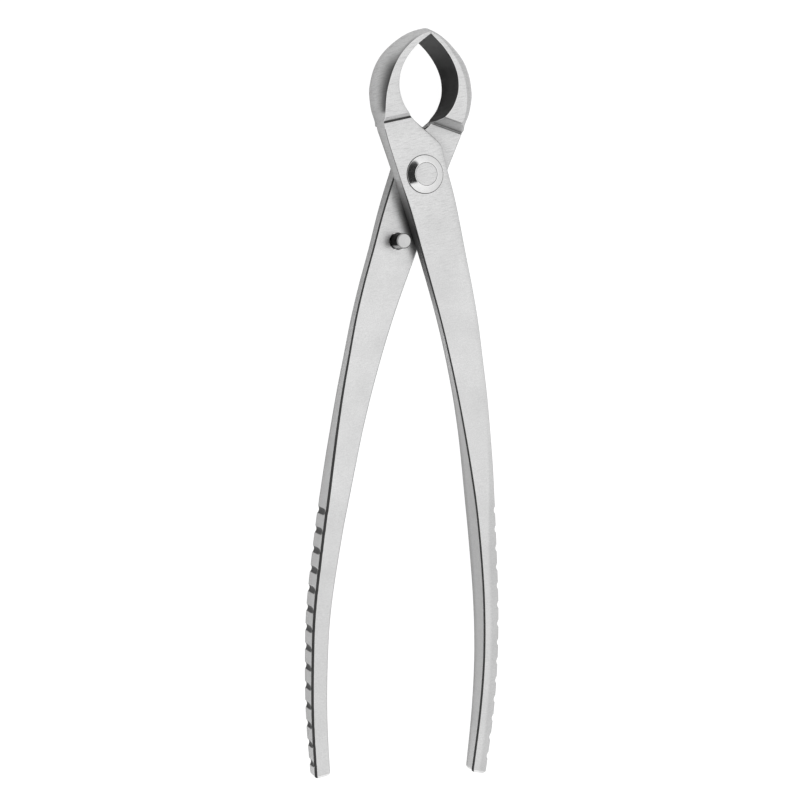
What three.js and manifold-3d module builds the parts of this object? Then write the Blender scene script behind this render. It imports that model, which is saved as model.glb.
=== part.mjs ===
// A forged stainless-steel round-edge cutter: two identical lapped halves that turn on one riveted pin.
// Units are millimetres. +X is the front half's handle side, +Y runs to the jaws, +Z is the pivot axis.
// The origin is on the pivot axis, at the flat outer face of the rear collar.
import * as THREE from "three";
import { mergeVertices } from "three/addons/utils/BufferGeometryUtils.js";
import Module from "manifold-3d";

// ---- Driving dimensions ----
const HUB_THICKNESS = 5.4; // one half at the pivot, from the lap plane to its outer face
const JAW_HALF_THICKNESS = 6.45; // the jaws stand a little proud of the hub on both sides
const LAP_CLEARANCE = 0.05; // each half's lap face stays this far from the lap plane
const TIP_CLEARANCE = 0.15; // each jaw tip stays this far from the plane where the tips meet

const PIN_RADIUS = 3.13;
const PIN_CHAMFER = 0.15;
const BORE_CLEARANCE = 0.05; // radial, pin to bore and pin to collar
const COLLAR_RADIUS = 5.17;
const COLLAR_HEIGHT = 1.3;
const COLLAR_RIM = 0.25; // height of the collar's upright rim under its cone
const COLLAR_FACE_GAP = 0.03; // collar to the hub face that it bears on
const COLLAR_LIP = 0.12; // width of the collar's flat top, round the pin's end

const STOP_PIN_RADIUS = 2.1;
const STOP_PIN_X = -5.3;
const STOP_PIN_Y = -18.3;
const STOP_PIN_TOP = 5.3; // above the lap plane
const STOP_PIN_BOTTOM = -4.35; // just inside the rear half's outer face
const STOP_PIN_CHAMFER = 0.35;

const STEP_ANGLE = 15.1 * (Math.PI / 180); // the jaw root's step runs this far off square to the tool
const FRONT_STEP = 16.1; // distance of the outer step from the pivot, square to the step
const FRONT_STEP_RAMP = 1.0;
const LAP_STEP = 15.06; // the same for the step down to the lap face
const LAP_STEP_RAMP = 1.45;

const GROOVE_COUNT = 14;
const GROOVE_FIRST_Y = -93.2;
const GROOVE_PITCH = 5.34;
const GROOVE_RADIUS = 1.25;
const GROOVE_DEPTH = 0.58; // at mid thickness; a groove is deeper at the back and runs out at the front
const GROOVE_TILT = 5.4 * (Math.PI / 180);

const BARREL_BEVEL = 8.6; // how far the barrel of the head grows from its core outline
const BARREL_SPAN = 9; // half height of the full barrel, of which the jaws keep the middle

const PIN_HALF_LENGTH = HUB_THICKNESS + COLLAR_HEIGHT; // the pin ends flush with its collars
const LAP_PLANE_Z = PIN_HALF_LENGTH; // the lap plane's height above the origin
const WIDE = 60; // more than any half width of the tool
const TALL = 12; // more than any half thickness of the tool
const ABOVE_JAWS_Y = 45; // past the tips
const BELOW_JAW_ROOT_Y = 5; // below the jaw's step, where the steps cut it off
const CIRCLE_SIDES = 64;
const GROOVE_SIDES = 20;

// Half of the barrel's core outline in plan, from the tip to the foot.
const BARREL_CORE = [
  [0, 31], [2.5, 29.5], [4.7, 26.8], [5.75, 24.1], [5.85, 21.6], [5.3, 18.8], [4.2, 15.4], [0.3, 6.2],
];

// The inner edge of the front half's jaw, from the tip round the opening to the hub's upper corner.
const JAW_INNER_EDGE = [
  [-TIP_CLEARANCE, 37.7], [-3.2, 35.1], [-6.6, 30.8], [-8.4, 24.8], [-7.3, 19.6], [-4.9, 15.8],
  [-0.9, 12.6], [3.6, 9.2],
];

// The front half's waist: its start inside the jaw, and its edge down to where it turns into the handle.
const WAIST_ROOT = [-11.2, 16];
const WAIST_JAW_EDGE = [
  [-12.2, 13.2], [-10.8, 8.6], [-8.9, 3.5], [-4.8, -7.2], [-0.2, -20],
];
const WAIST_CORNER = [4.9, 8.2];
const WAIST_HANDLE_EDGE = [
  [5.3, 6.2], [6.5, 2.1], [8.7, -4.8], [10.8, -12], [13.1, -20],
];

// The front handle's two edges in plan, from the waist to the end.
const HANDLE_OUTER_EDGE = [
  [13.1, -20], [17.8, -40], [21.2, -60], [23.8, -80], [25.8, -100], [27.4, -120], [27.8, -138], [26.9, -152],
  [25.4, -165],
];
const HANDLE_INNER_EDGE = [
  [-0.2, -20], [6.7, -40], [12.3, -60], [16.8, -80], [20.3, -100], [22.5, -120], [23.1, -135], [22.4, -150],
  [21.2, -164],
];
const HANDLE_END_Y = -167.3;
const HANDLE_END_X = 23.2; // where the rounded end reaches its lowest point
const HANDLE_END_INNER_X = 21; // how far out the end's two round corners reach
const HANDLE_END_OUTER_X = 25.1;

// The shank seen from the side: [y, z] along its outer face and back along its lap side.
const SHANK_OUTER_FACE = [
  [17, 5.4], [-6, 5.4], [-14, 4.95], [-24, 4.4], [-40, 4.3], [-80, 4.2], [-95, 3.95], [-150, 3.75],
  [-163, 3.2], [-167.5, 2.4],
];
const SHANK_LAP_SIDE = [
  [-167.5, -2.2], [-163, -3.1], [-150, -3.75], [-120, -4.25], [-100, -4.25], [-90, -3.9], [-80, -3.0],
  [-70, -1.9], [-60, -1.0], [-50, -0.5], [-40, -0.1], [-30, LAP_CLEARANCE], [17, LAP_CLEARANCE],
];

// ---- Booleans ----
const wasm = await Module();
wasm.setup();

/** A closed three.js geometry as a manifold-3d solid. */
function solid(geometry) {
  const bare = geometry.index ? geometry.toNonIndexed() : geometry.clone();
  bare.deleteAttribute("normal");
  bare.deleteAttribute("uv");
  const merged = mergeVertices(bare, 1e-4);
  return new wasm.Manifold(
    new wasm.Mesh({
      numProp: 3,
      vertProperties: merged.attributes.position.array,
      triVerts: new Uint32Array(merged.index.array),
    }),
  );
}

/** A manifold-3d solid as a three.js geometry. */
function geometryOf(made) {
  const mesh = made.getMesh();
  const geometry = new THREE.BufferGeometry();
  geometry.setAttribute("position", new THREE.BufferAttribute(mesh.vertProperties, 3));
  geometry.setIndex(new THREE.BufferAttribute(mesh.triVerts, 1));
  geometry.computeVertexNormals();
  return geometry;
}

// ---- Shape helpers ----
const points = (pairs) => pairs.map(([x, y]) => new THREE.Vector2(x, y));
const reversed = (pairs) => [...pairs].reverse();

/** A plan outline as a plate that runs from -TALL to TALL. */
function plate(shape, curveSegments) {
  const geometry = new THREE.ExtrudeGeometry(shape, { depth: 2 * TALL, bevelEnabled: false, curveSegments });
  return geometry.translate(0, 0, -TALL);
}

/** A [y, z] profile as a bar along X, from -WIDE to WIDE. */
function bar(pairs) {
  const shape = new THREE.Shape(points(pairs));
  const geometry = new THREE.ExtrudeGeometry(shape, { depth: 2 * WIDE, bevelEnabled: false });
  // The extrusion runs along Z, so shape x, shape y and depth turn into Y, Z and X.
  geometry.translate(0, 0, -WIDE);
  const axes = new THREE.Matrix4().makeBasis(
    new THREE.Vector3(0, 1, 0),
    new THREE.Vector3(0, 0, 1),
    new THREE.Vector3(1, 0, 0),
  );
  return geometry.applyMatrix4(axes);
}

function cylinder(radius, bottom, top, sides = CIRCLE_SIDES) {
  const geometry = new THREE.CylinderGeometry(radius, radius, top - bottom, sides);
  return geometry.rotateX(Math.PI / 2).translate(0, 0, (top + bottom) / 2);
}

/** A turned piece: [radius, height] pairs round the Z axis. */
function turned(pairs) {
  return new THREE.LatheGeometry(points(pairs), CIRCLE_SIDES).rotateX(Math.PI / 2);
}

// ---- The two forgings ----

/** The crowned outer body that both jaws are cut from. */
function barrel() {
  const left = BARREL_CORE.slice(1).map(([x, y]) => [-x, y]);
  const shape = new THREE.Shape();
  const [tip, ...right] = points(BARREL_CORE);
  shape.moveTo(tip.x, tip.y);
  shape.splineThru(points(left));
  shape.lineTo(right.at(-1).x, right.at(-1).y);
  shape.splineThru([...right.slice(0, -1).reverse(), tip]);
  const geometry = new THREE.ExtrudeGeometry(shape, {
    depth: 0.02,
    curveSegments: 4,
    bevelSize: BARREL_BEVEL,
    bevelThickness: BARREL_SPAN,
    bevelSegments: 10,
  });
  return geometry.translate(0, 0, -0.01);
}

/** The left jaw in plan, as wide as the barrel allows, from the tip to below its step. */
function jawPlan() {
  const shape = new THREE.Shape();
  const [tip, ...inner] = points(JAW_INNER_EDGE);
  shape.moveTo(-TIP_CLEARANCE, ABOVE_JAWS_Y);
  shape.lineTo(-WIDE, ABOVE_JAWS_Y);
  shape.lineTo(-WIDE, BELOW_JAW_ROOT_Y);
  shape.lineTo(inner.at(-1).x, BELOW_JAW_ROOT_Y);
  shape.lineTo(inner.at(-1).x, inner.at(-1).y);
  shape.splineThru([...inner.slice(0, -1).reverse(), tip]);
  return shape;
}

/** The jaw's [distance from the pivot, z] profile, square to its steps. */
function jawProfile() {
  return [
    [LAP_STEP, 0],
    [LAP_STEP + LAP_STEP_RAMP, -JAW_HALF_THICKNESS],
    [ABOVE_JAWS_Y, -JAW_HALF_THICKNESS],
    [ABOVE_JAWS_Y, JAW_HALF_THICKNESS],
    [FRONT_STEP + FRONT_STEP_RAMP, JAW_HALF_THICKNESS],
    [FRONT_STEP, HUB_THICKNESS],
  ];
}

function jaw() {
  const steps = solid(bar(jawProfile()).rotateZ(STEP_ANGLE));
  return solid(barrel()).intersect(solid(plate(jawPlan(), 6))).intersect(steps);
}

/** The waist and the handle in plan. */
function shankPlan() {
  const shape = new THREE.Shape();
  const inner = points(JAW_INNER_EDGE).slice(-3);
  shape.moveTo(...WAIST_ROOT);
  shape.splineThru(points(WAIST_JAW_EDGE));
  shape.splineThru(points(HANDLE_INNER_EDGE.slice(1)));
  shape.quadraticCurveTo(HANDLE_END_INNER_X, HANDLE_END_Y, HANDLE_END_X, HANDLE_END_Y);
  shape.quadraticCurveTo(HANDLE_END_OUTER_X, HANDLE_END_Y, ...HANDLE_OUTER_EDGE.at(-1));
  shape.splineThru(points(reversed(HANDLE_OUTER_EDGE)).slice(1));
  shape.splineThru(points(reversed(WAIST_HANDLE_EDGE)).slice(1));
  shape.quadraticCurveTo(...WAIST_CORNER, inner[2].x, inner[2].y);
  shape.lineTo(inner[1].x, inner[1].y);
  shape.lineTo(inner[0].x, inner[0].y);
  return shape;
}

function shank() {
  const side = solid(bar([...SHANK_OUTER_FACE, ...SHANK_LAP_SIDE]));
  return solid(plate(shankPlan(), 4)).intersect(side);
}

/** The handle's outer edge at a given y, on the straight line between its nearest outline points. */
function outerEdgeAt(y) {
  const i = HANDLE_OUTER_EDGE.findIndex((point) => point[1] <= y);
  const [x0, y0] = HANDLE_OUTER_EDGE[i - 1];
  const [x1, y1] = HANDLE_OUTER_EDGE[i];
  return x0 + ((x1 - x0) * (y - y0)) / (y1 - y0);
}

/** Cuts the grip grooves into the handle on the +X side (side 1) or the -X side (side -1). */
function cutGrooves(made, side) {
  let cut = made;
  for (let i = 0; i < GROOVE_COUNT; i += 1) {
    const y = GROOVE_FIRST_Y - i * GROOVE_PITCH;
    const x = side * (outerEdgeAt(y) + GROOVE_RADIUS - GROOVE_DEPTH);
    const wheel = cylinder(GROOVE_RADIUS, -TALL, TALL, GROOVE_SIDES).rotateY(side * GROOVE_TILT);
    cut = cut.subtract(solid(wheel.translate(x, y, 0)));
  }
  return cut;
}

function bore(x, y, radius) {
  return solid(cylinder(radius, -TALL, TALL).translate(x, y, 0));
}

/** One forging as the front half lies, with its lap face at the lap plane and its pivot bore cut. */
function forging() {
  return jaw().add(shank()).subtract(bore(0, 0, PIN_RADIUS + BORE_CLEARANCE));
}

function frontHalf() {
  return cutGrooves(forging(), 1);
}

/** The same forging turned over about the tool's length, with the stop pin's hole. */
function rearHalf() {
  const turnedOver = solid(geometryOf(forging()).rotateY(Math.PI));
  const holed = turnedOver.subtract(bore(STOP_PIN_X, STOP_PIN_Y, STOP_PIN_RADIUS + BORE_CLEARANCE));
  return cutGrooves(holed, -1);
}

// ---- The pivot and the stop pin ----

function pivotPin() {
  return turned([
    [0, -PIN_HALF_LENGTH],
    [PIN_RADIUS - PIN_CHAMFER, -PIN_HALF_LENGTH],
    [PIN_RADIUS, -PIN_HALF_LENGTH + PIN_CHAMFER],
    [PIN_RADIUS, PIN_HALF_LENGTH - PIN_CHAMFER],
    [PIN_RADIUS - PIN_CHAMFER, PIN_HALF_LENGTH],
    [0, PIN_HALF_LENGTH],
  ]);
}

/** The conical collar, with its bearing face at the hub's outer face, for the front side. */
function collar() {
  const inner = PIN_RADIUS + BORE_CLEARANCE;
  const base = HUB_THICKNESS + COLLAR_FACE_GAP;
  return turned([
    [inner, base],
    [COLLAR_RADIUS, base],
    [COLLAR_RADIUS, base + COLLAR_RIM],
    [inner + COLLAR_LIP, PIN_HALF_LENGTH],
    [inner, PIN_HALF_LENGTH],
    [inner, base],
  ]);
}

function stopPin() {
  return turned([
    [0, STOP_PIN_BOTTOM],
    [STOP_PIN_RADIUS - STOP_PIN_CHAMFER, STOP_PIN_BOTTOM],
    [STOP_PIN_RADIUS, STOP_PIN_BOTTOM + STOP_PIN_CHAMFER],
    [STOP_PIN_RADIUS, STOP_PIN_TOP - STOP_PIN_CHAMFER],
    [STOP_PIN_RADIUS - STOP_PIN_CHAMFER, STOP_PIN_TOP],
    [0, STOP_PIN_TOP],
  ]);
}

// ---- The scene graph ----

function steel(color, roughness) {
  return new THREE.MeshStandardMaterial({ color, roughness, metalness: 1 });
}

function addPiece(group, name, geometry, material) {
  const mesh = new THREE.Mesh(geometry, material);
  mesh.name = name;
  group.add(mesh);
  return mesh;
}

const tool = new THREE.Group();
const aboutLapPlane = new THREE.Group();
aboutLapPlane.position.z = LAP_PLANE_Z;
tool.add(aboutLapPlane);

addPiece(aboutLapPlane, "front_half", geometryOf(frontHalf()), steel(0xc9c9c9, 0.42));
addPiece(aboutLapPlane, "rear_half", geometryOf(rearHalf()), steel(0xc4c4c4, 0.42));
addPiece(aboutLapPlane, "pivot_pin", pivotPin(), steel(0xd2d2d2, 0.5));
addPiece(aboutLapPlane, "front_collar", collar(), steel(0xe4e4e4, 0.12));
const rearCollar = addPiece(aboutLapPlane, "rear_collar", collar(), steel(0xe4e4e4, 0.12));
rearCollar.rotation.y = Math.PI;
const stop = addPiece(aboutLapPlane, "stop_pin", stopPin(), steel(0xcccccc, 0.3));
stop.position.set(STOP_PIN_X, STOP_PIN_Y, 0);

export default tool;
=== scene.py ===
"""A lapped steel cutter with a round head: two forged halves on one riveted pivot.

Shapes are worked out in millimetres about the lap plane, where the two halves meet, with +X to the
front half's handle and +Y to the jaws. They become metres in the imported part's frame at the end.
"""
import math

import bmesh
import bpy
import numpy as np
from mathutils import Matrix, Vector

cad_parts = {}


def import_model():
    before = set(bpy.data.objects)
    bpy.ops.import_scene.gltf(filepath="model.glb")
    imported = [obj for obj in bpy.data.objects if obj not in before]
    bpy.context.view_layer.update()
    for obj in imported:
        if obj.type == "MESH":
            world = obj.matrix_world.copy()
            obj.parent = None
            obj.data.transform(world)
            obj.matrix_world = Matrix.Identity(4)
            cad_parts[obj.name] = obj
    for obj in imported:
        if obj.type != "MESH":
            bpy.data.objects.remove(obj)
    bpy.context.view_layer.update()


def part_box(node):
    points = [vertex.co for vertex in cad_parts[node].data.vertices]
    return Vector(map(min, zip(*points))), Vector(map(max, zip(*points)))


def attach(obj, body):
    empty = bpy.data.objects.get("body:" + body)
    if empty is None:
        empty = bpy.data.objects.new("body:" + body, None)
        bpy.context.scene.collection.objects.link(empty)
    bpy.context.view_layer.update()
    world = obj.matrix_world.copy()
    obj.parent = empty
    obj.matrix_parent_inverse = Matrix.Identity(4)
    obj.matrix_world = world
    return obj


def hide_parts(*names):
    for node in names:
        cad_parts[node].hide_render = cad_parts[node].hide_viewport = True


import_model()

MM = 0.001
pin_low, pin_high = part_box("pivot_pin")
LAP_Z = (pin_low.z + pin_high.z) / 2 / MM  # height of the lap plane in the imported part's frame

# ---------------------------------------------------------------- driving dimensions
JAW_HALF = 6.45  # half thickness of the jaws
HUB_FACE = 5.4  # lap plane to the hub's outer face
LAP_GAP = 0.05  # each lap face to the lap plane
STEP_ANGLE = 15.1  # the jaw roots' steps, off square to the tool

PIN_RADIUS = 3.13
COLLAR_RADIUS = 5.17
COLLAR_HEIGHT = 1.3
STOP_RADIUS = 2.1
STOP_TOP = 5.3
STOP_BOTTOM = -4.35
STOP_HOLE_GAP = 0.3  # radial
PIN_BORE_GAP = 0.04  # radial

GROOVE_COUNT = 14
GROOVE_FIRST_Y = -93.05
GROOVE_PITCH = 5.36
GROOVE_RADIUS = 1.25
GROOVE_DEPTH = 0.48
GROOVE_LEAST = 0.02  # a groove's depth where it has run out
GROOVE_RUNOUT = 2.4  # height over which a groove rises to the surface, on the handle's lap side

# The front half in plan. "left" runs from the tip round the outside of the jaw, down the waist and
# along the inside of the handle; "right" runs from the tip round the opening to the handle's outside.
# Most of these points, and the shank's heights below, come from a least-squares fit to the photo's
# outlines and were then adjusted.
LEFT_EDGE = [
    (1.52, 38.95), (-0.05, 38.35), (-2.33, 37.4), (-4.55, 35.9), (-7.29, 33.1), (-8.8, 31), (-9.92, 28.8),
    (-10.88, 26.3), (-11.49, 24.1), (-12.04, 21.6), (-12.3, 19), (-12.35, 16.5), (-12.35, 14.6),
    (-12.25, 12.9), (-11.79, 11.1), (-10.98, 8.6), (-10.07, 6.1), (-9.06, 3.5), (-6.88, -2.2),
    (-4.91, -7.2), (-2.99, -12.5), (-0.15, -20.4), (3.22, -30), (6.51, -40), (9.46, -50), (12.12, -60),
    (14.53, -70), (16.76, -80), (18.79, -90), (21.13, -105), (22.72, -120), (23.26, -135),
    (22.67, -150), (21.35, -165), (20.75, -171),
]
RIGHT_EDGE = [
    (1.42, 39), (-0.05, 37.8), (-1.62, 36.5), (-3.44, 34.9), (-5.06, 33.1), (-6.43, 31.2), (-7.49, 29.2),
    (-8.25, 27), (-8.55, 24.7), (-8.45, 22.5), (-7.89, 20.4), (-7.08, 18.5), (-6.07, 17), (-4.91, 15.7),
    (-2.93, 13.9), (-0.91, 12.5), (1.92, 10.4), (3.64, 9.1), (4.55, 8.1), (5.26, 6.1), (6.5, 2.1),
    (8.8, -4.8), (10.92, -12), (13.2, -20.5), (15.67, -30), (17.88, -40), (19.63, -50), (21.31, -60),
    (22.69, -70), (23.95, -80), (24.99, -90), (26.47, -105), (27.63, -120), (27.93, -135),
    (27.27, -150), (25.85, -165), (25.2, -171),
]
# The jaw's middle line: x, y, and the direction that a section across it points in, in degrees.
JAW_SPINE = [
    (-0.05, 38.05, -90), (-1.2, 37.3, -76), (-2.9, 36.2, -63), (-4.9, 34.4, -50), (-6.9, 31.9, -37),
    (-8.6, 28.8, -24), (-9.8, 25.4, -11), (-10.3, 22.4, -1), (-10, 19.6, 8), (-9.05, 16.6, STEP_ANGLE),
]
# Section directions along the handle: y and degrees.
HANDLE_TURN = [
    (-4, STEP_ANGLE), (-30, 15), (-60, 11.3), (-90, 7.6), (-120, 3.3), (-135, 0.5), (-150, -4),
    (-160, -8), (-167, -12),
]
# Heights of the shank's outer face and of its lap side, from the lap plane.
OUTER_FACE = [
    (20, 5.4), (-2, 5.4), (-8, 5.3), (-16, 4.8), (-24, 4.42), (-40, 4.32), (-70, 4.27), (-90, 4.05),
    (-105, 3.8), (-120, 3.65), (-150, 3.7), (-160, 3.5), (-169, 3.3),
]
LAP_SIDE = [
    (20, LAP_GAP), (-29, LAP_GAP), (-34, -0.02), (-40, -0.14), (-50, -0.52), (-60, -1.1), (-70, -1.98),
    (-80, -3.2), (-90, -4.2), (-98, -4.5), (-110, -4.6), (-120, -4.4), (-135, -3.7), (-150, -2.8),
    (-169, -1.7),
]
# How far the jaw's outer surface swells from its front edge, and falls away to its rear edge.
SWELL = [
    (39, 1.5), (37, 1.8), (34, 2.3), (31.5, 2.75), (29.7, 3.0), (25.3, 3.0), (22.5, 2.7), (20, 2.1),
    (16.7, 1.2), (14.8, 0.42), (13.4, 0.2), (12.6, 0.28), (12, 0.36), (10.5, 0.3), (8, 0.15), (5, 0.05),
    (2, 0), (-200, 0),
]
FALL = [
    (39, 1.5), (36, 2.35), (34, 2.9), (31.5, 3.4), (29.7, 3.6), (25.3, 3.6), (22.5, 3.5), (20, 3.2),
    (16.7, 2.7), (14.8, 2.45), (13.4, 3.1), (12, 3.5), (6, 0.2), (2, 0), (-200, 0),
]
# Width and drop of the sloping facet along the front half's outer edge.
FACET_WIDTH = [(20, 0.9), (5, 1), (-60, 1.2), (-88, 2), (-100, 2.9), (-135, 2.9), (-169, 2.5)]
FACET_DROP = [
    (20, 0.13), (5, 0.17), (-60, 0.14), (-88, 0.25), (-100, 0.5), (-130, 0.5), (-150, 0.3), (-169, 0.2),
]
# The rear half's handle is set a little wide of a true mirror image: y and how far towards +X.
SWAY = [
    (40, 0), (12, 0.1), (2, 0.35), (-5, 0.6), (-12, 0.7), (-20, 0.9), (-30, 0.95), (-62, 0.94), (-73, 0.77),
    (-84, 0.53), (-95, 0.2), (-106, 0.08), (-123, 0.1), (-134, 0.45), (-150, 0.6), (-169, 0.8),
]
FRONT_END_Y = -168
REAR_END_Y = -166.6
END_ROUNDING = 1.0  # length over which a handle's end closes
FINE_CHAMFER = 0.1
EDGE_CHAMFER = 0.42

# How many points a section has on each of its faces.
FRONT_POINTS = 9
FACET_POINTS = 4
WALL_POINTS = 16
REAR_POINTS = 18
SWELL_POINTS = 18

SHARP_ANGLE = math.radians(24)  # faces that meet at more than this are shaded apart
THROUGH = 12  # past both faces of the tool, from the lap plane


# ---------------------------------------------------------------- curves
def curve(points, step=0.05):
    """A smooth line through the points, as rows of coordinates about a step apart."""
    p = np.array(points, float)
    knots = np.concatenate([[0], np.cumsum(np.hypot(*np.diff(p[:, :2], axis=0).T))])
    slopes = np.zeros_like(p)
    spans = np.diff(knots)[:, None]
    chords = np.diff(p, axis=0) / spans
    slopes[1:-1] = (chords[:-1] * spans[1:] + chords[1:] * spans[:-1]) / (spans[1:] + spans[:-1])
    slopes[0], slopes[-1] = chords[0], chords[-1]
    rows = []
    for i, span in enumerate(spans[:, 0]):
        t = np.linspace(0, 1, max(2, int(span / step)), endpoint=False)[:, None]
        rows.append(
            (2 * t**3 - 3 * t**2 + 1) * p[i] + (t**3 - 2 * t**2 + t) * span * slopes[i]
            + (3 * t**2 - 2 * t**3) * p[i + 1] + (t**3 - t**2) * span * slopes[i + 1]
        )
    return np.vstack(rows + [p[-1:]])


def reader(points):
    """A function of y through [y, value] points."""
    rows = curve(points)[::-1]
    return lambda y: np.interp(y, rows[:, 0], rows[:, 1])


left_edge, right_edge = curve(LEFT_EDGE), curve(RIGHT_EDGE)
outer_face, lap_side = reader(OUTER_FACE), reader(LAP_SIDE)
swell_at, fall_at = reader(SWELL), reader(FALL)
facet_width, facet_drop = reader(FACET_WIDTH), reader(FACET_DROP)
handle_turn = reader(HANDLE_TURN)
sway = reader(SWAY)


def smooth(low, high, value):
    """0 at low to 1 at high, easing in and out; low may be the larger."""
    t = min(1.0, max(0.0, (value - low) / (high - low)))
    return t * t * (3 - 2 * t)


def crossing(edge, anchor, angle):
    """Where the section line through the anchor meets an edge, nearest to the anchor."""
    a = math.radians(angle)
    side = (edge[:, :2] - anchor) @ np.array([-math.sin(a), math.cos(a)])
    at = np.nonzero(side[:-1] * side[1:] <= 0)[0]
    near = at[np.argmin(np.hypot(*(edge[at, :2] - anchor).T))]
    t = side[near] / (side[near] - side[near + 1])
    return edge[near, :2] * (1 - t) + edge[near + 1, :2] * t


def fade(distance, width):
    """1 at no distance, falling off on both sides."""
    return math.exp(-((distance / width) ** 2))


# ---------------------------------------------------------------- one forging
UP_IN_JAW = 99.0  # stands for the step distance of every section above the jaw's root


def step_distance(anchor, angle):
    """Distance from the pivot, square to the jaw root's steps."""
    if angle < STEP_ANGLE - 0.01 and anchor[1] > 10:
        return UP_IN_JAW
    a = math.radians(STEP_ANGLE)
    return -anchor[0] * math.sin(a) + anchor[1] * math.cos(a)


# The steps at the jaw's root: distance from the pivot, square to them, and height.
FRONT_STEP = [(16.05, HUB_FACE), (16.12, HUB_FACE + 0.1), (16.85, HUB_FACE + 0.78), (17.15, JAW_HALF)]
LAP_STEP = [(15.1, LAP_GAP), (15.2, -0.35), (16.3, -JAW_HALF + 0.35), (16.5, -JAW_HALF)]
FRONT_STEP_FROM = 16
LAP_STEP_FROM = 14.9
FRONT_RELIEF = (15.95, 0.3, 0.28)  # distance, half width and depth of the groove at the step's foot
LAP_RELIEF = (14.95, 0.32, 0.2)
INSIDE_FROM = 15.5  # the ground inside of the jaw, painted dark, starts here
CHAMFERS_TO = 14  # the chamfers, painted dark as a dark reflection, start below this
# Distances of the section lines that follow the steps.
STEP_LINES = [
    18, 17.6, 17.3, 17.15, 17.05, 16.85, 16.65, 16.5, 16.4, 16.3, 16.2, 16.12, 16.05, 15.95, 15.85, 15.75,
    15.65, 15.5, 15.35, 15.2, 15.1, 15.03, 14.95, 14.87, 14.79, 14.71, 14.63, 14.5, 14.2,
]


def groove_cut(height, q):
    """Depth of a groove at a height above its run-out and at q of its half width, and that half width."""
    deep = max(GROOVE_LEAST, GROOVE_DEPTH * math.sqrt(min(1.0, max(0.0, height / GROOVE_RUNOUT))))
    half = math.sqrt(GROOVE_RADIUS**2 - (GROOVE_RADIUS - deep) ** 2)
    return math.sqrt(GROOVE_RADIUS**2 - (q * half) ** 2) - (GROOVE_RADIUS - deep), half


GROOVE_HALF = groove_cut(GROOVE_RUNOUT, 0)[1]


def stations(end_y):
    """Section lines from the tip to the end: anchor, direction, place in a groove, turn of the end."""
    out = []
    spine = curve(JAW_SPINE, 0.3)
    travelled = np.concatenate([[0], np.cumsum(np.hypot(*np.diff(spine[:, :2], axis=0).T))])
    for s in np.concatenate([[0, 0.06, 0.15, 0.3], np.arange(0.5, travelled[-1] - 0.3, 0.35)]):
        row = [np.interp(s, travelled, spine[:, k]) for k in range(3)]
        out.append((np.array(row[:2]), row[2], None, 0))
    a = math.radians(STEP_ANGLE)
    square, along = np.array([-math.sin(a), math.cos(a)]), np.array([math.cos(a), math.sin(a)])
    for d in STEP_LINES + list(np.arange(13.7, -3.2, -0.4)):
        middle = -4.3 + 3.9 * smooth(15, 4, d)
        out.append((square * d + along * middle, STEP_ANGLE, None, 0))
    ys = [(y, None) for y in np.arange(-4.5, -90.5, -1.0)]
    for i in range(GROOVE_COUNT):
        centre = GROOVE_FIRST_Y - GROOVE_PITCH * i
        ys += [(centre - GROOVE_HALF * q, q) for q in np.linspace(-1, 1, 13)]
        ys += [(centre - GROOVE_HALF - gap, None) for gap in (0.5, 1.2, 2.0, 2.7)]
    for y, groove in ys:
        if y > end_y + 1.1 * END_ROUNDING:
            out.append((mid_handle(y), float(handle_turn(y)), groove, 0))
    for turn in np.radians(np.linspace(0, 90, 8)):
        y = end_y + END_ROUNDING * (1 - math.sin(turn))
        out.append((mid_handle(y), float(handle_turn(y)), None, turn))
    return out


def edge_x(edge, y):
    """The x at which an edge of the handle passes a given y."""
    below = edge[edge[:, 1] < 0]
    return np.interp(-y, -below[:, 1], below[:, 0])


def mid_handle(y):
    return np.array([(edge_x(left_edge, y) + edge_x(right_edge, y)) / 2, y])


def relief(d, groove):
    """Depth, at a distance from the pivot, of the small groove at a step's foot."""
    place, half, depth = groove
    return depth * max(0.0, 1 - ((d - place) / half) ** 2)


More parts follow.
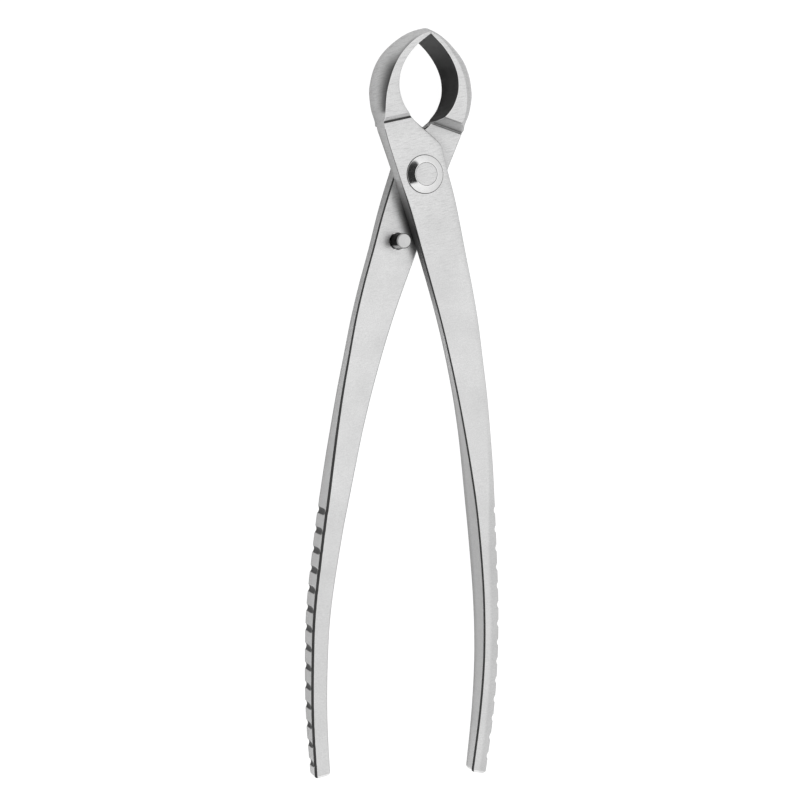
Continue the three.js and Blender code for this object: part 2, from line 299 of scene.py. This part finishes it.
def section(anchor, angle, groove, end):
    """One closed ring of points round the forging, the face that each lies on, and where it is."""
    left, right = crossing(left_edge, anchor, angle), crossing(right_edge, anchor, angle)
    width = float(np.hypot(*(right - left)))
    across = (right - left) / width
    y = float(left[1] + right[1]) / 2
    d = step_distance(anchor, angle)
    front = float(np.interp(d, *zip(*FRONT_STEP))) if d > FRONT_STEP_FROM else float(outer_face(y))
    rear = float(np.interp(d, *zip(*LAP_STEP))) if d > LAP_STEP_FROM else float(lap_side(y))
    front_dip, rear_dip = relief(d, FRONT_RELIEF), relief(d, LAP_RELIEF)
    shank = smooth(14.5, 12.5, d)  # 0 in the jaw, 1 on the hub and handle
    tight = min(1.0, width / 3)
    # Chamfers: left front, right front, left rear, right rear.
    fine = FINE_CHAMFER * tight
    lf = fine + (EDGE_CHAMFER - FINE_CHAMFER) * smooth(2, -12, y) * shank + 0.08 * smooth(-40, -90, y)
    rf = fine + 0.2 * shank
    lr = fine + 0.24 * shank
    rr = fine + 0.3 * shank + 0.2 * smooth(-30, -90, y)
    facet = min(width * 0.65, float(facet_width(min(y, 20)))) * shank + 0.3 * tight * (1 - shank)
    drop = float(facet_drop(min(y, 20))) * shank + 0.07 * tight * (1 - shank)
    inset = 0.9 * (1 - math.cos(end))  # how far the handle's rounded end draws in
    sink = 0.7 * (1 - math.cos(end))
    front, rear = front - sink, rear + sink
    swell, fall = float(swell_at(left[1])), float(fall_at(left[1]))

    def bulge(z):
        """How far the left face stands out at a height."""
        if z >= 0:
            return swell * (1 - crown(z / front))
        return swell - fall * crown(min(1.0, -z / JAW_HALF))

    ring, kinds = [], []

    def put(s, z, kind, wall=0.0):
        """Adds a point s across the section; wall is how closely it follows a groove's narrowing."""
        y_shift = 0.0
        s = inset + s * (width - 2 * inset) / width
        if groove is not None:
            cut, half = groove_cut(z - rear - rr, groove)
            s = min(s, width - cut)
            y_shift = -groove * (half - GROOVE_HALF) * wall
        point = left + across * s
        ring.append((point[0], point[1] + y_shift, z))
        kinds.append(kind)

    put(lf, front - front_dip, "front")
    put(lf + 0.12 * tight, front - front_dip, "front")
    for s in np.linspace(lf + 0.5 * tight, width - facet, FRONT_POINTS - 2):
        put(s, front - front_dip, "front")
    for s in np.linspace(width - facet, width - rf, FACET_POINTS)[1:]:
        put(s, front - front_dip - drop * (s - width + facet) / (facet - rf), "facet", 0.6)
    top = front - drop - rf * 0.8
    for z in np.linspace(top, rear + rr, WALL_POINTS):
        put(width, z, "wall", 1.0)
    far = lr - bulge(rear + lr)
    keen = 0.28 * tight * (1 - shank)
    put(width - rr, rear + rear_dip + keen * 0.22, "rear", 0.5)
    for s in np.linspace(width - rr - keen - 0.02, far, REAR_POINTS - 1):
        put(s, rear + rear_dip, "rear", max(0.0, s / width - 0.5))
    for z in np.linspace(rear + lr, front - lf, SWELL_POINTS):
        put(-bulge(z), z, "swell")
    return ring, kinds, {"d": d, "groove": groove, "end": end, "runout": rear + rr, "front": front}


CROWN_REACH = 0.717  # the part of a quarter circle that the jaw's rounding uses, as a sine


def crown(q):
    """0 at mid thickness to 1 at the edge, round in between."""
    return (1 - math.sqrt(1 - (q * CROWN_REACH) ** 2)) / (1 - math.sqrt(1 - CROWN_REACH**2))


FORGED, GROUND, CHAMFER = 0, 1, 2  # a half's material slots


def half_mesh(name, turned):
    """The whole forging as one mesh; turned lays it over about the tool's length as the rear half."""
    rings = [section(*station) for station in stations(REAR_END_Y if turned else FRONT_END_Y)]
    count = len(rings[0][0])
    points = np.array([p for ring, _, _ in rings for p in ring])
    kinds = rings[0][1]
    faces, slots = [], []
    for i in range(len(rings) - 1):
        info = rings[i + 1][2]
        for k in range(count):
            k2 = (k + 1) % count
            faces.append((i * count + k, i * count + k2, (i + 1) * count + k2, (i + 1) * count + k))
            pair = (kinds[k], kinds[k2])
            if pair == ("wall", "wall") and info["d"] > INSIDE_FROM:
                slots.append(GROUND)
            elif pair in (("swell", "front"), ("wall", "rear")) and info["d"] < CHAMFERS_TO:
                slots.append(CHAMFER)
            else:
                slots.append(FORGED)
    faces.append(tuple(reversed(range(count))))
    faces.append(tuple((len(rings) - 1) * count + k for k in range(count)))
    slots += [GROUND, FORGED]
    painted_shade, highlight_and_pale_end = marks(rings, turned)
    if turned:
        points = points * (-1, 1, -1)
        points[:, 0] += sway(points[:, 1])
    mesh = bpy.data.meshes.new(name)
    mesh.from_pydata([tuple(v * MM) for v in points + (0, 0, LAP_Z)], [], faces)
    mesh.polygons.foreach_set("material_index", slots)
    # The mesh carries per-point painted shade, and painted highlights with pale handle ends, for the forged
    # steel.
    for label, values in (("painted_shade", painted_shade), ("highlight_and_pale_end", highlight_and_pale_end)):
        mesh.attributes.new(label, "FLOAT", "POINT").data.foreach_set("value", values)
    mesh.polygons.foreach_set("use_smooth", [True] * len(faces))
    mesh.update()
    fix_normals(mesh)
    return mesh


def painted_shade_at(point, kind, info, turned):
    """How much painted shade a point gets: in corners and grooves, along some edges and beside the
    crossing.
    """
    x, y, z = point
    d = info["d"]
    dark = 0
    # Painted shade at the foot of each step, and a painted dark line near the top of the lap step.
    if d < UP_IN_JAW and kind in ("front", "facet"):
        dark = fade(d - FRONT_RELIEF[0], 0.25)
    if d < UP_IN_JAW and kind == "rear":
        dark = max(0.6 * fade(d - LAP_RELIEF[0], 0.3), 0.55 * fade(d - 16.4, 0.08))
    # The sloping facet gets a little painted shade towards the handle's end.
    if kind == "facet":
        dark = max(dark, 0.14 * smooth(-60, -95, y))
    # A painted dark reflection on the outside of the front half's jaw, behind its front edge.
    if not turned and kind == "swell" and d == UP_IN_JAW:
        shade = 0.88 * fade(JAW_HALF - z, 2.1) * smooth(12, 17, y) * smooth(35, 27, y)
        dark = max(shade, 0.6 * fade(JAW_HALF - z, 0.5) * smooth(38, 35, y))
    # Painted shade on the front half's side wall along its rear edge, and where it crosses the rear half.
    if not turned and kind == "swell" and d < CHAMFERS_TO:
        beside_crossing = 0.8 * smooth(-1, -17, y) * smooth(-44, -22, y)
        dark = max(0.25 * fade(z - info["runout"], 1), beside_crossing)
    # Painted shade in the grip grooves, and otherwise on the rear half's side wall along the edge of its
    # outer face.
    if kind == "wall" and info["groove"] is not None:
        dark = smooth(0.0, 0.05, groove_cut(z - info["runout"], info["groove"])[0])
    elif turned and kind == "wall":
        beside_crossing = 0.2 * smooth(2, -5, y) * smooth(-60, -30, y)
        dark = max(dark, 0.4 * fade(info["front"] - z, 0.9), beside_crossing)
    # Painted shade on the rear half's lap face beside the front half: on the handle side, then on the jaw
    # side.
    if turned and kind == "rear" and -22 < y < 1:
        gap = max(0.0, float(np.interp(-y, -left_edge[:, 1], left_edge[:, 0])) + x)
        dark = 0.9 * fade(gap, 1.9) * smooth(-24, -18, y) * smooth(-3, -11, y)
    if turned and kind == "rear" and 0 < y < 14 and d < 14.6:
        gap = max(0.0, -x - float(np.interp(-y, -right_edge[:, 1], right_edge[:, 0])))
        dark = 0.3 * fade(gap, 3.2) * smooth(0, 4, y)
    return dark


# The face round the corner from each face, across an edge that gets a painted highlight.
BEYOND = {"front": "swell", "facet": "wall", "rear": "wall"}


def marks(rings, turned):
    """Per point: how much painted shade sits there, and how light it is made: a painted highlight on keen
    edges, pale on the handles' rounded ends.
    """
    painted_shade, highlight_and_pale_end = [], []
    for ring, kinds, info in rings:
        keen = 1 - smooth(14.5, 12.5, info["d"])
        # The rounded ends of the handles are made nearly white.
        pale_end = 1.0 if info["end"] > 0.4 else 0.0
        for k, (point, kind) in enumerate(zip(ring, kinds)):
            beside = (kinds[k - 1], kinds[(k + 1) % len(kinds)])
            # Keen edges in the jaw get a painted highlight.
            bright = keen if BEYOND.get(kind) in beside else 0.0
            painted_shade.append(painted_shade_at(point, kind, info, turned))
            highlight_and_pale_end.append(max(bright, pale_end))
    return painted_shade, highlight_and_pale_end


def fix_normals(mesh):
    """Turns every face outwards and marks the sharp edges."""
    work = bmesh.new()
    work.from_mesh(mesh)
    bmesh.ops.recalc_face_normals(work, faces=work.faces)
    work.to_mesh(mesh)
    work.free()
    mesh.set_sharp_from_angle(angle=SHARP_ANGLE)


def new_object(name, mesh, *materials):
    """Puts a mesh in the scene as an object, with its materials in slot order."""
    piece = bpy.data.objects.new(name, mesh)
    bpy.context.scene.collection.objects.link(piece)
    for material in materials:
        mesh.materials.append(material)
    return piece


def lathe(name, profile, x=0.0, y=0.0, sides=128, flip=False):
    """A turned piece from [radius, height] points, closed on itself or on its axis."""
    verts, faces, rows = [], [], []
    for radius, z in profile:
        if radius < 1e-6:
            rows.append([len(verts)] * sides)
            verts.append((x, y, z))
            continue
        rows.append(list(range(len(verts), len(verts) + sides)))
        turn = [2 * math.pi * k / sides for k in range(sides)]
        verts += [(x + radius * math.cos(t), y + radius * math.sin(t), z) for t in turn]
    for a, b in zip(rows, rows[1:]):
        for k in range(sides):
            quad = [a[k], a[(k + 1) % sides], b[(k + 1) % sides], b[k]]
            faces.append(tuple(dict.fromkeys(quad)))
    mesh = bpy.data.meshes.new(name)
    side = -1 if flip else 1
    mesh.from_pydata([(vx * MM, vy * MM, (vz * side + LAP_Z) * MM) for vx, vy, vz in verts], [], faces)
    work = bmesh.new()
    work.from_mesh(mesh)
    bmesh.ops.remove_doubles(work, verts=work.verts, dist=1e-8)
    work.to_mesh(mesh)
    work.free()
    mesh.polygons.foreach_set("use_smooth", [True] * len(mesh.polygons))
    fix_normals(mesh)
    return mesh


CORNER_STEPS = 3


def rounded(profile, radius):
    """The profile with each inner corner rounded by a small curve."""
    out = [profile[0]]
    for before, at, after in zip(profile, profile[1:], profile[2:]):
        b, p, a = (np.array(v, float) for v in (before, at, after))
        reach = min(radius, np.linalg.norm(b - p) * 0.45, np.linalg.norm(a - p) * 0.45)
        start = p + (b - p) / np.linalg.norm(b - p) * reach
        stop = p + (a - p) / np.linalg.norm(a - p) * reach
        for t in np.linspace(0, 1, CORNER_STEPS + 1):
            out.append(tuple((1 - t) ** 2 * start + 2 * t * (1 - t) * p + t**2 * stop))
    return out + [profile[-1]]


def drill(piece, x, y, radius):
    """Cuts a round hole through the piece and keeps the result."""
    rod = [(0, -THROUGH), (radius, -THROUGH), (radius, THROUGH), (0, THROUGH)]
    cutter = new_object("drill", lathe("drill", rod, x, y, sides=96))
    change = piece.modifiers.new("hole", "BOOLEAN")
    change.operation = "DIFFERENCE"
    change.object = cutter
    change.solver = "EXACT"
    bpy.context.view_layer.update()
    drilled = bpy.data.meshes.new_from_object(piece.evaluated_get(bpy.context.evaluated_depsgraph_get()))
    piece.modifiers.clear()
    old, piece.data = piece.data, drilled
    drilled.name = old.name + "_drilled"
    bpy.data.meshes.remove(old)
    bpy.data.objects.remove(cutter)
    drilled.set_sharp_from_angle(angle=SHARP_ANGLE)


# ---------------------------------------------------------------- materials
class Nodes:
    """A short way to write a node tree."""

    def __init__(self, name):
        self.material = bpy.data.materials.new(name)
        self.material.use_nodes = True
        self.tree = self.material.node_tree
        self.shader = self.tree.nodes["Principled BSDF"]

    def add(self, kind, **inputs):
        """A new node: i0, i1 and so on set or link its inputs by number, other names its properties."""
        node = self.tree.nodes.new(kind)
        for key, value in inputs.items():
            socket = node.inputs[int(key[1:])] if key[0] == "i" and key[1:].isdigit() else None
            if socket is None:
                setattr(node, key, value)
            elif isinstance(value, bpy.types.NodeSocket):
                self.tree.links.new(value, socket)
            else:
                socket.default_value = value
        return node

    def noise(self, scale, detail, stretch=(1, 1, 1), turn=0.0, mapping="POINT"):
        mapped = self.add("ShaderNodeMapping", i0=self.add("ShaderNodeTexCoord").outputs["Object"])
        mapped.vector_type = mapping
        mapped.inputs["Scale"].default_value = stretch
        mapped.inputs["Rotation"].default_value = (0, 0, turn)
        node = self.add("ShaderNodeTexNoise", i0=mapped.outputs[0])
        node.inputs["Scale"].default_value = scale
        node.inputs["Detail"].default_value = detail
        node.inputs["Roughness"].default_value = 0.55
        return node.outputs["Fac"]

    def remap(self, value, low, high, out_low, out_high):
        node = self.add("ShaderNodeMapRange", i0=value)
        for i, v in enumerate((low, high, out_low, out_high)):
            node.inputs[i + 1].default_value = v
        return node.outputs[0]

    def math(self, how, a, b):
        return self.add("ShaderNodeMath", operation=how, i0=a, i1=b).outputs[0]

    def mix(self, factor, a, b):
        node = self.tree.nodes.new("ShaderNodeMix")
        node.data_type = "RGBA"
        for socket, value in ((node.inputs[0], factor), (node.inputs[6], a), (node.inputs[7], b)):
            if isinstance(value, bpy.types.NodeSocket):
                self.tree.links.new(value, socket)
            else:
                socket.default_value = value
        return node.outputs[2]

    def bump(self, height, strength, distance):
        node = self.tree.nodes.new("ShaderNodeBump")
        node.inputs["Strength"].default_value = strength
        node.inputs["Distance"].default_value = distance
        self.tree.links.new(height, node.inputs["Height"])
        self.tree.links.new(node.outputs[0], self.shader.inputs["Normal"])

    def attribute(self, name):
        return self.add("ShaderNodeAttribute", attribute_name=name).outputs["Fac"]

    def drive(self, socket, value):
        self.tree.links.new(value, self.shader.inputs[socket])


def grey(value):
    return (value, value, value, 1)


def blasted_steel(name, tone, roughness):
    """Satin steel with a fine speckle and, mostly on the hub, sanding lines along the jaw's step."""
    n = Nodes(name)
    n.shader.inputs["Metallic"].default_value = 1.0
    speckle = n.noise(3200, 2)
    cloud = n.noise(90, 4)
    lines = n.noise(420, 3, (1, 1 / 9, 1), math.radians(STEP_ANGLE), mapping="TEXTURE")
    place = n.add("ShaderNodeSeparateXYZ", i0=n.add("ShaderNodeTexCoord").outputs["Object"])
    hub = n.remap(place.outputs["Y"], -0.03, -0.008, 0.12, 0.5)
    shade = n.mix(n.remap(speckle, 0.3, 0.7, 0, 1), grey(tone * 0.9), grey(tone * 1.08))
    shade = n.mix(n.remap(cloud, 0.35, 0.7, 0, 0.25), shade, grey(tone * 0.82))
    shade = n.mix(n.math("MULTIPLY", n.remap(lines, 0.5, 0.66, 0, 1), hub), shade, grey(tone * 0.68))
    # Painted highlights along keen edges, and the handles' rounded ends made pale: the colour goes nearly
    # white.
    shade = n.mix(n.attribute("highlight_and_pale_end"), shade, grey(0.9))
    # Painted shade: the colour darkens towards near black where the mesh marks it.
    shade = n.mix(n.attribute("painted_shade"), shade, grey(0.03))
    n.drive("Base Color", shade)
    n.drive("Roughness", n.remap(cloud, 0.3, 0.7, roughness * 0.9, roughness * 1.12))
    n.bump(n.math("ADD", speckle, n.math("MULTIPLY", lines, 0.6)), 0.22, 0.00006)
    return n.material


def ground_steel_painted_dark(name):
    """Inside of the jaws: a painted dark reflection, lighter at the tip; fine grinding lines along the
    thickness.
    """
    n = Nodes(name)
    n.shader.inputs["Metallic"].default_value = 1.0
    lines = n.noise(700, 3, (1, 1, 0.06))
    cloud = n.noise(160, 3)
    place = n.add("ShaderNodeSeparateXYZ", i0=n.add("ShaderNodeTexCoord").outputs["Object"])
    shade = n.mix(n.remap(lines, 0.35, 0.7, 0, 1), grey(0.032), grey(0.075))
    shade = n.mix(n.remap(cloud, 0.45, 0.7, 0, 0.4), shade, grey(0.1))
    # Painted lighter towards the tip, as part of the painted dark reflection.
    shade = n.mix(n.remap(place.outputs["Y"], 0.029, 0.037, 0, 0.55), shade, grey(0.34))
    n.drive("Base Color", shade)
    n.drive("Roughness", n.remap(lines, 0.3, 0.7, 0.34, 0.5))
    n.bump(lines, 0.3, 0.00004)
    return n.material


def polished_steel(name, tone, roughness, edge=1.0, rim=None, streak=None):
    """Smooth steel of any tone.

    edge tints its grazing reflections, rim is a radius with painted shade beyond it, and streak a
    direction in which an otherwise dark side has a painted glint and its upward faces are painted lighter.
    """
    n = Nodes(name)
    n.shader.inputs["Metallic"].default_value = 1.0
    n.shader.inputs["Specular Tint"].default_value = grey(edge)
    cloud = n.noise(700, 3)
    shade = n.mix(n.remap(cloud, 0.4, 0.7, 0, 0.35), grey(tone), grey(tone * 0.88))
    if rim:
        flat = n.add("ShaderNodeMapping", i0=n.add("ShaderNodeTexCoord").outputs["Object"])
        flat.inputs["Scale"].default_value = (1, 1, 0)
        reach = n.add("ShaderNodeVectorMath", operation="LENGTH", i0=flat.outputs[0]).outputs["Value"]
        # Painted shade beyond the rim.
        shade = n.mix(n.remap(reach, (rim - 0.01) * MM, (rim + 0.01) * MM, 0, 1), shade, grey(0.04))
    if streak:
        # A painted glint on the side facing the streak, and a painted lighter top.
        facing = n.add("ShaderNodeNewGeometry").outputs["Normal"]
        along = n.add("ShaderNodeVectorMath", operation="DOT_PRODUCT", i0=facing, i1=streak)
        lit = n.mix(n.remap(along.outputs["Value"], 0.9, 0.98, 0, 1), shade, grey(0.95))
        split = n.add("ShaderNodeSeparateXYZ", i0=facing)
        shade = n.mix(n.remap(split.outputs["Z"], 0.3, 0.9, 0, 1), lit, grey(0.5))
    n.drive("Base Color", shade)
    n.drive("Roughness", n.remap(cloud, 0.3, 0.7, roughness * 0.8, roughness * 1.4))
    n.bump(cloud, 0.05, 0.00003)
    return n.material


STOP_GLINT = (-0.5, -0.86, 0)  # the side of the stop pin that gets a painted glint
# The chamfers and the stop pin's side mirror something dark in the photo, so their tone is nearly black.
forged = blasted_steel("forged_steel", 0.62, 0.36)
jaw_inside_painted_dark = ground_steel_painted_dark("ground_jaw_painted_dark")
forged_edge = polished_steel("chamfer_steel", 0.06, 0.3, edge=0.3)
pin_finish = blasted_steel("pin_face", 0.62, 0.38)
collar_finish = polished_steel("polished_collar", 0.8, 0.12, rim=COLLAR_RADIUS)
stop_finish = polished_steel("stop_pin_steel", 0.06, 0.3, edge=0.4, streak=STOP_GLINT)

# ---------------------------------------------------------------- the pieces
STEELS = (forged, jaw_inside_painted_dark, forged_edge)
front = new_object("front_forging", half_mesh("front_forging", False), *STEELS)
rear = new_object("rear_forging", half_mesh("rear_forging", True), *STEELS)
stop_low, stop_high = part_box("stop_pin")
STOP_X = (stop_low.x + stop_high.x) / 2 / MM
STOP_Y = (stop_low.y + stop_high.y) / 2 / MM
for half in (front, rear):
    drill(half, 0, 0, PIN_RADIUS + PIN_BORE_GAP)
drill(rear, STOP_X, STOP_Y, STOP_RADIUS + STOP_HOLE_GAP)

END = HUB_FACE + COLLAR_HEIGHT  # lap plane to the flat end of the rivet
pin = new_object(
    "rivet",
    lathe(
        "rivet",
        rounded([(0, -END), (PIN_RADIUS, -END), (PIN_RADIUS, END), (0, END)], 0.16),
    ),
    pin_finish,
)
COLLAR_BORE = PIN_RADIUS + 0.05
COLLAR_FOOT = HUB_FACE + 0.03
SEAM_RADIUS = COLLAR_RADIUS + 0.16  # a thin ring of painted shade in the seam round the collar
COLLAR = rounded(
    [
        (COLLAR_BORE, COLLAR_FOOT), (SEAM_RADIUS, COLLAR_FOOT), (SEAM_RADIUS, HUB_FACE + 0.06),
        (COLLAR_RADIUS, HUB_FACE + 0.07), (COLLAR_RADIUS, HUB_FACE + 0.25), (COLLAR_BORE + 0.14, END),
        (COLLAR_BORE, END), (COLLAR_BORE, COLLAR_FOOT),
    ],
    0.07,
)
front_collar = new_object("front_ring", lathe("front_ring", COLLAR), collar_finish)
rear_collar = new_object("rear_ring", lathe("rear_ring", COLLAR, flip=True), collar_finish)
stop = new_object(
    "handle_stop",
    lathe(
        "handle_stop",
        rounded(
            [
                (0, STOP_BOTTOM), (STOP_RADIUS, STOP_BOTTOM), (STOP_RADIUS, STOP_TOP - 0.3),
                (STOP_RADIUS - 0.3, STOP_TOP), (0, STOP_TOP),
            ],
            0.1,
        ),
        STOP_X,
        STOP_Y,
    ),
    stop_finish,
)

RIDES = [
    (front, "front_body", "front_half", "forged_steel"),
    (rear, "rear_body", "rear_half", "forged_steel"),
    (pin, "rear_body", "pivot_pin", "pin_steel"),
    (front_collar, "rear_body", "front_collar", "collar_steel"),
    (rear_collar, "rear_body", "rear_collar", "collar_steel"),
    (stop, "rear_body", "stop_pin", "pin_steel"),
]
for piece, body, node, slot in RIDES:
    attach(piece, body)
    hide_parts(node)

# ---------------------------------------------------------------- floor, light and camera
FLOOR_HALF = 4.0  # metres
FLOOR_Z = -0.0002


def floor():
    """A pale floor that glows a little more under the handles; the camera sees it nearly plain white."""
    mesh = bpy.data.meshes.new("floor")
    corners = [(x * FLOOR_HALF, y * FLOOR_HALF, FLOOR_Z) for x, y in ((-1, -1), (1, -1), (1, 1), (-1, 1))]
    mesh.from_pydata(corners, [], [(0, 1, 2, 3)])
    n = Nodes("floor")
    out = n.tree.nodes["Material Output"]
    n.shader.inputs["Base Color"].default_value = grey(0.93)
    n.shader.inputs["Roughness"].default_value = 1.0
    n.shader.inputs["Specular IOR Level"].default_value = 0.0
    n.shader.inputs["Emission Color"].default_value = grey(1.0)
    place = n.add("ShaderNodeSeparateXYZ", i0=n.add("ShaderNodeTexCoord").outputs["Object"])
    n.drive("Emission Strength", n.remap(place.outputs["Y"], 0.02, -0.02, 0.03, 0.14))
    plain = n.add("ShaderNodeEmission", i0=grey(1.0), i1=1.15)
    pale = n.add("ShaderNodeMixShader", i0=0.15, i1=plain.outputs[0], i2=n.shader.outputs[0])
    seen = n.add("ShaderNodeLightPath").outputs["Is Camera Ray"]
    both = n.add("ShaderNodeMixShader", i0=seen, i1=n.shader.outputs[0], i2=pale.outputs[0])
    n.tree.links.new(both.outputs[0], out.inputs["Surface"])
    new_object("floor", mesh, n.material)


def world():
    """Soft white all round, with a dark flag high on the left, which the collar reflects.

    The camera sees plain white.
    """
    w = bpy.data.worlds.new("studio")
    bpy.context.scene.world = w
    w.use_nodes = True
    tree = w.node_tree
    background = tree.nodes["Background"]
    place = tree.nodes.new("ShaderNodeTexCoord")
    split = tree.nodes.new("ShaderNodeSeparateXYZ")
    tree.links.new(place.outputs["Generated"], split.inputs[0])

    def ramp(value, low, high, out_low, out_high):
        node = tree.nodes.new("ShaderNodeMapRange")
        node.interpolation_type = "SMOOTHSTEP"
        tree.links.new(value, node.inputs[0])
        for i, v in enumerate((low, high, out_low, out_high)):
            node.inputs[i + 1].default_value = v
        return node.outputs[0]

    def operate(how, a, b=0.0):
        node = tree.nodes.new("ShaderNodeMath")
        node.operation = how
        for socket, value in zip(node.inputs, (a, b)):
            if isinstance(value, bpy.types.NodeSocket):
                tree.links.new(value, socket)
            else:
                socket.default_value = value
        return node.outputs[0]

    x, y, z = split.outputs
    leftward = ramp(x, -0.14, -0.34, 0, 1)
    narrow = ramp(operate("ABSOLUTE", operate("SUBTRACT", y, 0.12)), 0.6, 0.72, 1, 0)
    flag = operate("MULTIPLY", operate("MULTIPLY", leftward, narrow), ramp(z, 0.5, 0.6, 0, 1))
    sky = ramp(z, 0.0, 0.9, 0.85, 1.12)
    level = operate("MULTIPLY", sky, operate("SUBTRACT", 1.0, operate("MULTIPLY", flag, 0.97)))
    seen = tree.nodes.new("ShaderNodeLightPath").outputs["Is Camera Ray"]
    level = operate("ADD", operate("MULTIPLY", level, operate("SUBTRACT", 1.0, seen)), seen)
    tree.links.new(level, background.inputs["Strength"])
    background.inputs["Color"].default_value = grey(1.0)


def softbox(name, place, aim, size, watts):
    """A round area light at a place, turned to its aim."""
    data = bpy.data.lights.new(name, "AREA")
    data.shape = "DISK"
    data.size = size
    data.energy = watts
    lamp = bpy.data.objects.new(name, data)
    lamp.location = place
    lamp.rotation_euler = (Vector(aim) - Vector(place)).to_track_quat("-Z", "Y").to_euler()
    bpy.context.scene.collection.objects.link(lamp)


floor()
world()
softbox("key_light", (0.28, 0.05, 0.75), (0, -0.06, 0), 0.5, 0.1)

# The camera looks down the pivot axis from a little to the left and towards the jaws, and is rolled.
VIEW_FROM_LEFT = math.radians(20.1)
VIEW_LIFT = math.radians(-3.65)
VIEW_ROLL = math.radians(1.88)
CAMERA_DISTANCE = 0.472
FRAME_WIDTH = 0.2216  # what the picture takes in at the aim, in metres
SENSOR_WIDTH = 36
AIM = Vector((-3.1, -62.06, LAP_Z)) * MM
back = Vector((
    -math.sin(VIEW_FROM_LEFT) * math.cos(VIEW_LIFT),
    -math.sin(VIEW_LIFT),
    math.cos(VIEW_FROM_LEFT) * math.cos(VIEW_LIFT),
))
right = Vector((math.cos(VIEW_FROM_LEFT), 0, math.sin(VIEW_FROM_LEFT)))
up = back.cross(right)
turned_right = right * math.cos(VIEW_ROLL) + up * math.sin(VIEW_ROLL)
turned_up = up * math.cos(VIEW_ROLL) - right * math.sin(VIEW_ROLL)
lens = bpy.data.cameras.new("camera")
lens.sensor_width = SENSOR_WIDTH
lens.lens = SENSOR_WIDTH * CAMERA_DISTANCE / FRAME_WIDTH
lens.clip_start = 0.01
lens.clip_end = 50
camera = bpy.data.objects.new("camera", lens)
camera.matrix_world = Matrix.Translation(AIM + back * CAMERA_DISTANCE) @ Matrix(
    (turned_right, turned_up, back)
).transposed().to_4x4()
bpy.context.scene.collection.objects.link(camera)
bpy.context.scene.camera = camera
bpy.context.scene.view_settings.view_transform = "Standard"
